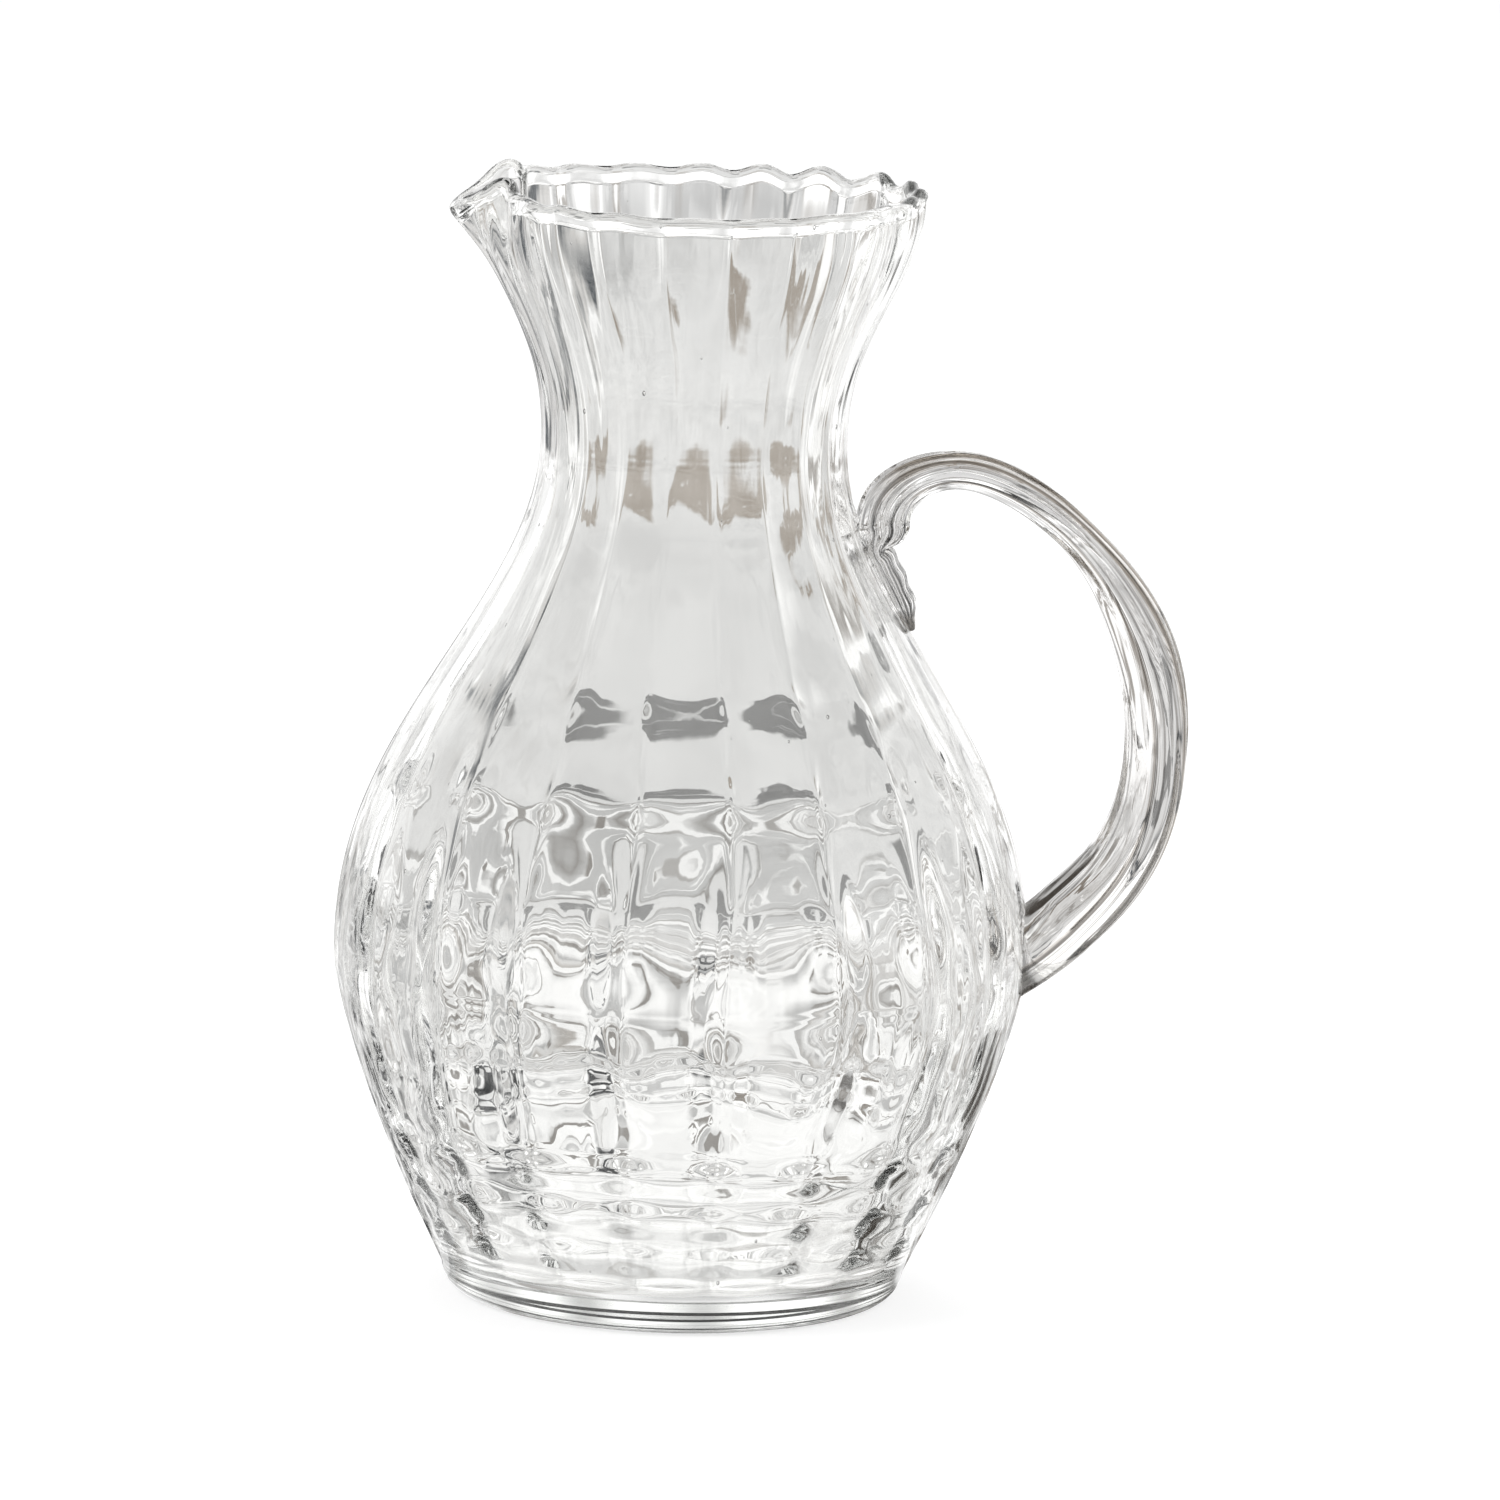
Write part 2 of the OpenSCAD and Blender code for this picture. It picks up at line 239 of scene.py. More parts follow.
def mesh_of(name, points, faces, attributes):
    """A mesh in metres from points in millimetres, with attributes on its points."""
    mesh = bpy.data.meshes.new(name)
    mesh.from_pydata((np.asarray(points) * MM).tolist(), [], faces)
    for key, values in attributes.items():
        values = np.asarray(values, np.float32)
        kind, field = ("FLOAT", "value") if values.ndim == 1 else ("FLOAT_VECTOR", "vector")
        mesh.attributes.new(key, kind, "POINT").data.foreach_set(field, values.ravel())
    return mesh


def band_faces(first, following, count):
    """Quads from one ring of points to the next."""
    return [(first + j, first + (j + 1) % count, following + (j + 1) % count, following + j)
            for j in range(count)]


def grown(name, mesh, tree, values):
    """The plain mesh that a Geometry Nodes tree grows from a mesh, as a finished object."""
    bed = bpy.data.objects.new(name, mesh)
    bpy.context.scene.collection.objects.link(bed)
    modifier = bed.modifiers.new("growth", "NODES")
    modifier.node_group = tree
    for item in tree.interface.items_tree:
        if item.item_type == "SOCKET" and item.in_out == "INPUT" and item.name in values:
            modifier[item.identifier] = values[item.name]
    bpy.context.view_layer.update()
    made = bed.evaluated_get(bpy.context.evaluated_depsgraph_get())
    plain = bpy.data.meshes.new_from_object(made)
    bpy.data.objects.remove(bed)
    plain.name = name
    for attribute in [a.name for a in plain.attributes if a.name in OWN_ATTRIBUTES]:
        plain.attributes.remove(plain.attributes[attribute])
    plain.polygons.foreach_set("use_smooth", [True] * len(plain.polygons))
    piece = bpy.data.objects.new(name, plain)
    bpy.context.scene.collection.objects.link(piece)
    return piece


# What only the growth reads. The attribute that the glass reads, "drawn", stays on the mesh.
OWN_ATTRIBUTES = {"turn", "dimple_row", "outside_share", "inside_share", "dimple_share", "outward",
                  "flute_share", "fold_share", "along"}


def new_tree(name, inputs):
    """An empty Geometry Nodes tree with named float inputs, and the nodes at its two ends."""
    tree = bpy.data.node_groups.new(name, "GeometryNodeTree")
    tree.interface.new_socket("Geometry", in_out="INPUT", socket_type="NodeSocketGeometry")
    for key in inputs:
        tree.interface.new_socket(key, in_out="INPUT", socket_type="NodeSocketFloat")
    tree.interface.new_socket("Geometry", in_out="OUTPUT", socket_type="NodeSocketGeometry")
    return tree, add(tree, "NodeGroupInput")


def end_tree(tree, geometry, material):
    """Realize Instances and Set Material, which every tree ends in."""
    real = add(tree, "GeometryNodeRealizeInstances", [geometry])
    dressed = add(tree, "GeometryNodeSetMaterial", {"Geometry": real, "Material": material})
    add(tree, "NodeGroupOutput", [dressed])
    return tree


# Materials

def grey(value, warmth=0.0):
    """A linear grey, warmer or cooler, as a colour with its alpha."""
    return (value * (1 + warmth), value, value * (1 - warmth), 1.0)


# Painted shade in the handle's glass: dark streaks, by their place around the rod from 0 to 1. They
# stand for the dark lines that its flutes gather, and wander by as many radians as named below.
SHADE_STREAKS = [(0.0, grey(0.97)), (0.09, grey(0.97)), (0.105, grey(0.08, 0.3)),
           (0.12, grey(0.3, 0.2)), (0.14, grey(0.03, 0.35)), (0.155, grey(0.8, 0.1)),
           (0.175, grey(0.9)), (0.19, grey(0.3, 0.25)), (0.205, grey(0.004, 0.3)),
           (0.219, grey(0.3, 0.2)), (0.228, grey(0.9)), (0.238, grey(0.6, 0.05)),
           (0.244, grey(0.06, 0.05)), (0.251, grey(0.8)), (0.259, grey(0.02, 0.05)),
           (0.267, grey(0.5, 0.05)), (0.275, grey(0.06, 0.1)), (0.284, grey(0.9)),
           (0.32, grey(0.97)), (0.335, grey(0.1, 0.1)), (0.345, grey(0.97)),
           (0.365, grey(0.97)), (0.375, grey(0.1, 0.1)), (0.385, grey(0.003, 0.15)),
           (0.395, grey(0.4, 0.1)), (0.405, grey(0.97)), (0.5, grey(0.97)),
           (0.51, grey(0.04, 0.1)), (0.52, grey(0.97)), (1.0, grey(0.97))]
STREAK_WANDER, STREAK_SHIFT = 0.8, 0.436
# The tail and the bulb have painted shade instead, thin dark lines between their folds: how many
# there are round the rod, and how far along it they end and the streaks begin.
FOLD_SHADE_LINES, FOLDS_END, STREAKS_START = 9, 26, 36


def glass(name, colour, absorbed, density, cord_w, cord_l, cord_strength, shade_streaks=None):
    """Soda-lime glass, blown or drawn hot and left with its fire polish: a mirror-smooth skin.

    The eye gets clear, nearly colourless glass with pale grey where it is thick. Faint cords in the
    melt, whose width and length are in millimetres, bend what is seen through the skin a little.
    They follow the way the glass was drawn. A rod can have painted shade in its colour: darker
    streaks, which stand at places around it and run along it, and dark lines between its folds.
    """
    material = bpy.data.materials.new(name)
    material.use_nodes = True
    tree = material.node_tree
    tree.nodes.clear()
    place = add(tree, "ShaderNodeAttribute", attribute_name="drawn")
    drawn = add(tree, "ShaderNodeMapping", {"Vector": place.outputs["Vector"],
                "Scale": (1 / (cord_w * MM), 1 / (cord_w * MM), 1 / (cord_l * MM))})
    cords = add(tree, "ShaderNodeTexNoise", {"Vector": drawn, "Scale": 1.0, "Detail": 2.0})
    skin = add(tree, "ShaderNodeBump", {"Height": cords, "Strength": cord_strength,
                                        "Distance": 0.4 * MM})
    clear = linear(colour)
    if shade_streaks:
        on_rod = add(tree, "ShaderNodeSeparateXYZ", [place.outputs["Vector"]]).outputs
        turn = add(tree, "ShaderNodeMath", [on_rod["Y"], on_rod["X"]], operation="ARCTAN2")
        fine = add(tree, "ShaderNodeTexNoise", {"Vector": drawn, "Scale": 0.6, "Detail": 5.0,
                                                "Roughness": 0.75})
        drift = add(tree, "ShaderNodeMath", [fine, STREAK_WANDER, turn], operation="MULTIPLY_ADD")
        round_share = add(tree, "ShaderNodeMath", [drift, 1 / TURN, STREAK_SHIFT],
                          operation="MULTIPLY_ADD")
        # Painted shade: dark streaks round the rod, for the dark lines that its flutes gather.
        streak_shade = add(tree, "ShaderNodeValToRGB", [round_share], stops=shade_streaks)
        # Painted shade: thin dark lines between the folds of the tail and the bulb.
        folds = add(tree, "ShaderNodeMath", [drift, FOLD_SHADE_LINES / 2], operation="MULTIPLY")
        folds = add(tree, "ShaderNodeMath", [folds], operation="SINE")
        folds = add(tree, "ShaderNodeMath", [folds], operation="ABSOLUTE")
        fold_shade = add(tree, "ShaderNodeMapRange", {"Value": folds, "From Min": 0.1, "From Max": 0.4,
                                                  "To Min": 0.003, "To Max": 0.97})
        on_bow = add(tree, "ShaderNodeMapRange", {"Value": on_rod["Z"], "From Min": FOLDS_END * MM,
                                                  "From Max": STREAKS_START * MM})
        clear = add(tree, "ShaderNodeMix", [on_bow, fold_shade, streak_shade], data_type="RGBA")
    shader = add(tree, "ShaderNodeBsdfPrincipled", {
        "Base Color": clear, "Roughness": 0.0, "IOR": 1.51, "Transmission Weight": 1.0,
        "Normal": skin})
    dim = add(tree, "ShaderNodeVolumeAbsorption", {"Color": linear(absorbed), "Density": density})
    add(tree, "ShaderNodeOutputMaterial", {"Surface": shader, "Volume": dim})
    return material


# The body's glass was blown into an optic mould. The eye gets clear glass with broad faint cords
# that run up the wall.
blown_glass = glass("blown_soda_lime_glass", colour="FCFCFB", absorbed="D3D5D2", density=6.0,
                    cord_w=3.0, cord_l=60.0, cord_strength=0.09)
# The handle's glass was drawn out from a gather of its own. The eye gets thicker glass, a little
# warmer, with fine cords, and painted shade: dark streaks along the rod and lines between folds.
drawn_glass = glass("drawn_soda_lime_glass", colour="FCFCFB", absorbed="D6D0C8", density=16.0,
                    cord_w=1.1, cord_l=300.0, cord_strength=0.08, shade_streaks=SHADE_STREAKS)

# The body: one skin of glass, inside and out

COLUMNS = 12 * RIBS
KICK_H = 0.8
HEEL_CORNER_R = 5
FLOOR_DOME_H = 0.7
LIP_RIB_SHARE = 0.4
POLE_SHARE = 0.06
angles = TURN * np.arange(COLUMNS) / COLUMNS
around = np.stack([np.cos(angles), np.sin(angles), np.zeros(COLUMNS)], 1)
none = np.zeros(COLUMNS)


def level_ring(r, z, outside=0.0, inside=0.0, dimple=0.0, row=0.0):
    """A ring of the body's skin, with the shares of relief that it takes. Its drawn place is on a
    tube as wide as the neck, as it was before the bubble was blown, so the cords widen with it."""
    r, z, row = none + r, none + z, none + row
    return {"points": np.column_stack([r[:, None] * around[:, :2], z]), "turn": angles,
            "outside_share": none + outside, "inside_share": none + inside,
            "dimple_share": none + dimple, "dimple_row": row, "outward": around,
            "drawn": np.column_stack([NECK_R * MM * around[:, :2], z * MM])}


def body_rings():
    """The skin's rings: from the middle of the standing face round the heel, up the outside, over
    the lip, down the inside and over the inner floor to its middle."""
    rings = []
    standing_r = float(outline_r(BASE_EDGE_R)) - BASE_EDGE_R
    for k in np.linspace(POLE_SHARE, 1, 12):
        rings.append(level_ring(standing_r * k, KICK_H * (1 - k * k) ** 2))
    for turn in np.linspace(0, np.pi / 2, 10)[1:]:
        rings.append(level_ring(standing_r + BASE_EDGE_R * np.sin(turn),
                                BASE_EDGE_R * (1 - np.cos(turn))))
    for level in np.linspace(BASE_EDGE_R, SEAM_Z, 176)[1:]:
        z = bent(level, angles)
        rings.append(level_ring(outer_face(z, angles), z, outside=rib_depth(z)))
    seam = lip_seam(angles)
    out_r, in_r = outer_face(seam, angles), outer_face(seam, angles) - wall_t(seam)
    middle, half_t = (out_r + in_r) / 2, (out_r - in_r) / 2 + LIP_SWELL
    for turn in np.linspace(0, np.pi, 16):
        share = (1 + np.cos(turn)) / 2
        rings.append(level_ring(middle + half_t * np.cos(turn),
                                seam + LIP_H * mix(LIP_BULGE, 1, np.sin(turn)),
                                outside=LIP_RIB_SHARE * share,
                                inside=LIP_RIB_SHARE * (1 - share)))
    corner_z = BASE_T + HEEL_CORNER_R
    for level in np.linspace(SEAM_Z, corner_z, 150):
        z = bent(level, angles)
        rings.append(level_ring(outer_face(z, angles) - wall_t(z), z, inside=rib_depth(z),
                                dimple=ring_depth(z), row=dimple_rows_below(z)))
    corner_r = float(outline_r(corner_z) - wall_t(corner_z)) - HEEL_CORNER_R
    for turn in np.linspace(0, np.pi / 2, 9)[1:]:
        z = corner_z - HEEL_CORNER_R * np.sin(turn)
        rings.append(level_ring(corner_r + HEEL_CORNER_R * np.cos(turn), z, inside=rib_growth(z)))
    for k in np.linspace(1, POLE_SHARE, 12)[1:]:
        rings.append(level_ring(corner_r * k, BASE_T + FLOOR_DOME_H * (1 - k * k)))
    return rings


def closed_mesh(name, rings, start, end):
    """A closed skin through rings of points, with a pole at each end."""
    count = len(rings[0]["points"])
    points = np.vstack([ring["points"] for ring in rings] + [start, end])
    faces = [face for i in range(len(rings) - 1)
             for face in band_faces(i * count, (i + 1) * count, count)]
    last = (len(rings) - 1) * count
    for j in range(count):
        k = (j + 1) % count
        faces += [(k, j, last + count), (last + j, last + k, last + count + 1)]
    extra = {}
    for key in rings[0]:
        if key != "points":
            poles = np.zeros_like(rings[0][key][:2])
            extra[key] = np.concatenate([ring[key] for ring in rings] + [poles])
    return mesh_of(name, points, faces, extra)


def relief_tree(material):
    """The optic mould's ribs and dimples, pulled out of true by hand, and the seeds in the wall."""
    names = ["Ribs", "Crest sharpness", "Rib depth outside", "Rib depth inside", "Dimple depth",
             "Ring depth", "Wander", "Wander width", "Unevenness", "Unevenness width",
             "Seeds per square metre", "Seed radius", "Seed depth"]
    tree, given = new_tree("optic_mould", names)
    size = given.outputs
    turn, row, outside, inside, dimple = [
        add(tree, "GeometryNodeInputNamedAttribute", {"Name": name}, data_type="FLOAT")
        for name in ("turn", "dimple_row", "outside_share", "inside_share", "dimple_share")]
    outward = add(tree, "GeometryNodeInputNamedAttribute", {"Name": "outward"},
                  data_type="FLOAT_VECTOR")

    def pulled(reach, detail):
        """Smooth noise of a named reach and width, to both sides of zero."""
        fine = add(tree, "ShaderNodeMath", [1.0, size[reach + " width"]], operation="DIVIDE")
        waves = add(tree, "ShaderNodeTexNoise", {"Scale": fine, "Detail": detail})
        level = add(tree, "ShaderNodeMath", [waves, 0.5], operation="SUBTRACT")
        return add(tree, "ShaderNodeMath", [level, size[reach]], operation="MULTIPLY")

    wander = pulled("Wander", 0.0)
    angle = add(tree, "ShaderNodeMath", [turn, size["Ribs"], wander], operation="MULTIPLY_ADD")
    twice = add(tree, "ShaderNodeMath", [angle, 2.0], operation="MULTIPLY")
    crest = add(tree, "ShaderNodeMath", [add(tree, "ShaderNodeMath", [twice], operation="COSINE"),
                                         size["Crest sharpness"]], operation="MULTIPLY")
    wave = add(tree, "ShaderNodeMath", [add(tree, "ShaderNodeMath", [angle], operation="COSINE"),
                                        crest], operation="SUBTRACT")
    rows = add(tree, "ShaderNodeMath", [
        add(tree, "ShaderNodeMath", [row, TURN, wander], operation="MULTIPLY_ADD")],
        operation="COSINE")
    dimpled = add(tree, "ShaderNodeMath", [rows, dimple], operation="MULTIPLY")
    thick = add(tree, "ShaderNodeMath", [outside, size["Rib depth outside"]], operation="MULTIPLY")
    thick = add(tree, "ShaderNodeMath", [
        dimpled, size["Dimple depth"], thick], operation="MULTIPLY_ADD")
    inner = add(tree, "ShaderNodeMath", [inside, size["Rib depth inside"]], operation="MULTIPLY")
    thick = add(tree, "ShaderNodeMath", [thick, inner], operation="SUBTRACT")
    ribbed = add(tree, "ShaderNodeMath", [thick, wave], operation="MULTIPLY")
    rings = add(tree, "ShaderNodeMath", [dimpled, size["Ring depth"]], operation="MULTIPLY")
    relief = add(tree, "ShaderNodeMath", [ribbed, rings], operation="SUBTRACT")
    sway = add(tree, "ShaderNodeMath", [pulled("Unevenness", 1.0), inside], operation="MULTIPLY")
    depth = add(tree, "ShaderNodeMath", [relief, 0.5, sway], operation="MULTIPLY_ADD")
    push = add(tree, "ShaderNodeVectorMath", [outward, depth], operation="SCALE")
    moved = add(tree, "GeometryNodeSetPosition", {"Geometry": given, "Offset": push})

    # Seeds are the fine gas bubbles of hand-gathered glass: hollows inside the wall, so they face
    # inwards, a little drawn out along the height.
    blown = add(tree, "FunctionNodeCompare", [outside, 0.1], operation="GREATER_THAN")
    spots = add(tree, "GeometryNodeDistributePointsOnFaces", {
        "Mesh": moved, "Selection": blown, "Density": size["Seeds per square metre"], "Seed": 7})
    below = add(tree, "ShaderNodeMath", [size["Seed depth"], -1.0], operation="MULTIPLY")
    sunk = add(tree, "GeometryNodeSetPosition", {"Geometry": spots, "Offset": add(
        tree, "ShaderNodeVectorMath", [outward, below], operation="SCALE")})
    ball = add(tree, "GeometryNodeMeshUVSphere", {"Segments": 8, "Rings": 6,
                                                  "Radius": size["Seed radius"]})
    grade = add(tree, "FunctionNodeRandomValue", {"Seed": 3}, data_type="FLOAT")
    grade = add(tree, "ShaderNodeMapRange", {"Value": grade, "To Min": 0.4, "To Max": 1.3})
    hollows = add(tree, "GeometryNodeInstanceOnPoints", {
        "Points": sunk, "Instance": add(tree, "GeometryNodeFlipFaces", [ball]),
        "Scale": add(tree, "ShaderNodeVectorMath", [(1.0, 1.0, 1.6), grade], operation="SCALE")})
    whole = add(tree, "GeometryNodeJoinGeometry", [moved])
    tree.links.new(hollows.outputs[0], whole.inputs[0])
    return end_tree(tree, whole, material)


body_skin = closed_mesh("body_skin", body_rings(), [0, 0, KICK_H], [0, 0, BASE_T + FLOOR_DOME_H])
jug_body = grown("jug_body", body_skin, relief_tree(blown_glass), {
    "Ribs": float(RIBS), "Crest sharpness": 0.25, "Rib depth outside": RIB_OUT_D * MM,
    "Rib depth inside": RIB_IN_D * MM, "Dimple depth": DIMPLE_D * MM, "Ring depth": 0.6 * MM,
    "Wander": 2.4, "Wander width": 45 * MM, "Unevenness": 0.9 * MM, "Unevenness width": 24 * MM,
    "Seeds per square metre": 900.0, "Seed radius": 0.3 * MM, "Seed depth": 1.2 * MM})

# The handle: one rod of glass, drawn by hand

SIDES = 120
SINK = 0.45
TWIST = np.radians(60)
FALL_WAY = np.array([-1, -1]) / np.sqrt(2)
# How far the bow's three curves run straight on at their ends, as shares of their height, width or
# length, how far the seal's flare does, as a share of its own, and where between the arch and the
# furthest reach the rod thickens.
RISE_SHARE, BEND_SHARE, DROP_SHARE, RETURN_SHARE = 0.55, 0.34, 0.6, 0.25
SEAL_AHEAD_SHARE = 0.7
THICKENS_AT_SHARE, THICKENS_OVER_SHARE = 0.42, 0.44


def curve(a, b, c, d, t):
    """A cubic curve from a to d, drawn towards b and c."""
    t = t[:, None]
    return a * (1 - t) ** 3 + b * 3 * t * (1 - t) ** 2 + c * 3 * t * t * (1 - t) + d * t ** 3


def stations():
    """The rod's stations: x, z, thickness on the wall's side and on the open side, width, and the
    shares of flutes and folds. The tail and the bulb lie on the wall; from there the bow goes in
    three curves to the arch, to its furthest reach and down to the foot."""
    found = []
    for t in np.linspace(0, 1, 60)[:-1]:
        z = mix(TAIL_END_Z, BULB_Z, t)
        u = (z - TAIL_END_Z) / TAIL_L
        past = (u - 1) * TAIL_L / (BULB_Z - PINCH_Z)
        grown_share = np.sin(np.pi / 2 * min(1, u / TAIL_FULL_SHARE))
        if u < TAIL_NIP_SHARE:
            full_t = mix(TAIL_TIP_T, TAIL_T, grown_share)
        elif u < 1:
            full_t = ease(TAIL_T, PINCH_T, (u - TAIL_NIP_SHARE) / (1 - TAIL_NIP_SHARE))
        else:
            full_t = ease(PINCH_T, BULB_T, past)
        crimp = CRIMP_D * np.sin(np.pi * u) * (1 - np.cos(TURN * CRIMPS * u)) / 2 if u < 1 else 0
        width = (mix(TAIL_TIP_W_SHARE * TAIL_W, TAIL_W, grown_share) if u < 1
                 else ease(TAIL_W, BULB_T * W_SHARE, past))
        found.append([float(outline_r(z)) + PRESS * full_t, z, full_t, full_t - crimp, width,
                      0, within(past) if u > 1 else 0.25])
    bulb = np.array([float(outline_r(BULB_Z)) + PRESS * BULB_T, BULB_Z])
    arch, reach = np.array([ARCH_X, ARCH_Z]), np.array([HANDLE_REACH, HANDLE_REACH_Z])
    foot = np.array([float(outline_r(FOOT_Z)), FOOT_Z]) - SEAL_L * FALL_WAY

    def stretch(line, thickness, flute, fold):
        for p, size, f, g in zip(line, thickness, flute, fold):
            found.append([p[0], p[1], size, size, size * W_SHARE, f, g])

    t = np.linspace(0, 1, 26)[:-1]
    stretch(curve(bulb, bulb + [0, RISE_SHARE * (ARCH_Z - BULB_Z)],
                  arch - [RISE_SHARE * (ARCH_X - bulb[0]), 0], arch, t),
            ease(BULB_T, ARCH_T, t), t, 1 - t)
    t = np.linspace(0, 1, 62)[:-1]
    stretch(curve(arch, arch + [BEND_SHARE * (HANDLE_REACH - ARCH_X), 0],
                  reach + [0, DROP_SHARE * (ARCH_Z - HANDLE_REACH_Z)], reach, t),
            ease(ARCH_T, REACH_T, within((t - THICKENS_AT_SHARE) / THICKENS_OVER_SHARE)),
            0 * t + 1, 0 * t)
    t = np.linspace(0, 1, 56)
    stretch(curve(reach, reach - [0, DROP_SHARE * (HANDLE_REACH_Z - foot[1])],
                  foot - RETURN_SHARE * np.linalg.norm(reach - foot) * FALL_WAY, foot, t),
            ease(REACH_T, FOOT_T, t), 0 * t + 1, 0 * t)
    return np.array(found)


def seated(p):
    """Points that would lie inside the wall are pressed out to just under its surface, where the
    two glasses are fused. Also gives how free of the wall each point is, from 0 to 1."""
    a = np.arctan2(p[:, 1], p[:, 0])
    seat, r = outer_at(p[:, 2], a) - SINK, np.hypot(p[:, 0], p[:, 1])
    rim = np.where(r < seat, seat, r)
    return np.column_stack([rim * np.cos(a), rim * np.sin(a), p[:, 2]]), within((r - seat) / 2)


def rod_rings():
    """The skin's rings along the rod, square to it, from the tail's tip to the seal. The drawn
    place of a point is on a straight rod, as it was before the bow was bent."""
    line = stations()
    way = np.gradient(line[:, :2], axis=0)
    way[-1] = FALL_WAY
    way /= np.linalg.norm(way, axis=1)[:, None]
    length = np.concatenate([[0], np.cumsum(np.linalg.norm(np.diff(line[:, :2], axis=0), axis=1))])
    turns = TURN * np.arange(SIDES) / SIDES
    rings = []
    for (x, z, wall_side_t, open_side_t, width, flute, fold), w, along in zip(line, way, length):
        t = np.where(np.cos(turns) < 0, wall_side_t, open_side_t)
        across, side = t / 2 * np.cos(turns), width / 2 * np.sin(turns)
        p, free = seated(np.column_stack([x + across * w[1], side, z - across * w[0]]))
        outward = np.column_stack([np.cos(turns) * w[1], np.sin(turns), -np.cos(turns) * w[0]])
        twisted = turns + TWIST * along / length[-1]
        rings.append({"points": p, "turn": twisted, "outward": outward,
                      "flute_share": flute * free, "fold_share": fold * free,
                      "drawn": MM * np.column_stack([
                          REACH_T / 2 * np.cos(twisted), REACH_T / 2 * np.sin(twisted),
                          0 * turns + along]),
                      "along": 0 * turns + along * MM})
    return rings + seal_rings(rings[-1])


def seal_rings(last):
    """The rod's last ring flares onto an oval patch of the belly, which closes under the skin."""
    turns = TURN * np.arange(SIDES) / SIDES

    def patch(share):
        """An oval on the belly, as a share of the seal's full size."""
        z = FOOT_Z + share * (FOOT_T / 2 + SEAL_SPREAD) * np.cos(turns)
        half_w = FOOT_T * W_SHARE / 2 + SEAL_SPREAD
        a = np.arcsin(share * half_w * np.sin(turns) / outline_r(z))
        r = outer_at(z, a) - SINK
        return np.column_stack([r * np.cos(a), r * np.sin(a), z])

    start, end = last["points"], patch(1)
    ahead = start + SEAL_AHEAD_SHARE * SEAL_L * np.array([FALL_WAY[0], 0, FALL_WAY[1]])
    found = []
    for t in np.linspace(0, 1, 20)[1:]:
        p, free = seated(mix(mix(start, ahead, t), mix(ahead, end, t), t))
        found.append(dict(last, points=p, flute_share=(1 - t) ** 2 * free, fold_share=0 * free))
    for share in (0.85, 0.65, 0.45, 0.25):
        found.append(dict(found[-1], points=patch(share), flute_share=0 * turns))
    return found


def flute_tree(material):
    """Flutes and fine cords drawn along the rod, and the folds that gather where it is pinched."""
    names = ["Flutes", "Flute depth", "Folds", "Fold depth", "Cord depth", "Cords", "Cord length",
             "Wander", "Wander width"]
    tree, given = new_tree("drawn_flutes", names)
    size = given.outputs
    own_turn, along, flute_share, fold_share = [
        add(tree, "GeometryNodeInputNamedAttribute", {"Name": name}, data_type="FLOAT")
        for name in ("turn", "along", "flute_share", "fold_share")]
    outward = add(tree, "GeometryNodeInputNamedAttribute", {"Name": "outward"},
                  data_type="FLOAT_VECTOR")
    fine = add(tree, "ShaderNodeMath", [1.0, size["Wander width"]], operation="DIVIDE")
    waves = add(tree, "ShaderNodeTexNoise", {"Scale": fine, "Detail": 0.0})
    wander = add(tree, "ShaderNodeMath", [waves, 0.5], operation="SUBTRACT")
    turn = add(tree, "ShaderNodeMath", [wander, size["Wander"], own_turn], operation="MULTIPLY_ADD")

    def ridges(kind):
        """Round ridges with sharp valleys between them, as deep as they are named."""
        half = add(tree, "ShaderNodeMath", [size[kind + "s"], 0.5], operation="MULTIPLY")
        angle = add(tree, "ShaderNodeMath", [turn, half], operation="MULTIPLY")
        round_top = add(tree, "ShaderNodeMath", [
            add(tree, "ShaderNodeMath", [angle], operation="COSINE")], operation="ABSOLUTE")
        below = add(tree, "ShaderNodeMath", [round_top, 1.0], operation="SUBTRACT")
        return add(tree, "ShaderNodeMath", [below, size[kind + " depth"]], operation="MULTIPLY")

    on_rod = add(tree, "ShaderNodeCombineXYZ", [
        add(tree, "ShaderNodeMath", [turn], operation="COSINE"),
        add(tree, "ShaderNodeMath", [turn], operation="SINE"),
        add(tree, "ShaderNodeMath", [along, size["Cord length"]], operation="DIVIDE")])
    cords = add(tree, "ShaderNodeTexNoise", {"Vector": on_rod, "Scale": size["Cords"],
                                             "Detail": 1.0})
    cords = add(tree, "ShaderNodeMath", [cords, 0.5], operation="SUBTRACT")
    drawn = add(tree, "ShaderNodeMath", [cords, size["Cord depth"], ridges("Flute")],
                operation="MULTIPLY_ADD")
    drawn = add(tree, "ShaderNodeMath", [drawn, flute_share], operation="MULTIPLY")
    depth = add(tree, "ShaderNodeMath", [ridges("Fold"), fold_share, drawn],
                operation="MULTIPLY_ADD")
    push = add(tree, "ShaderNodeVectorMath", [outward, depth], operation="SCALE")
    moved = add(tree, "GeometryNodeSetPosition", {"Geometry": given, "Offset": push})
    return end_tree(tree, moved, material)


rod = rod_rings()
handle_skin = closed_mesh("handle_skin", rod, rod[0]["points"].mean(0), rod[-1]["points"].mean(0))
jug_handle = grown("jug_handle", handle_skin, flute_tree(drawn_glass), {
    "Flutes": 7.0, "Flute depth": 0.7 * MM, "Folds": 13.0, "Fold depth": 1.6 * MM,
    "Cord depth": 0.6 * MM, "Cords": 2.2, "Cord length": 240 * MM,
    "Wander": 0.6, "Wander width": 40 * MM})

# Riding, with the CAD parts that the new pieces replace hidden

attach(jug_body, "root")
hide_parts("body_wall", "base_disc", "lip_wrap")

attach(jug_handle, "root")
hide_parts("handle", "handle_tail", "lower_seal")

# The stage and the lights

# The share of the lamps' light that the paper gives back, and what lifts it to white for the
# camera.
PAPER, LIFT = 0.36, 0.72
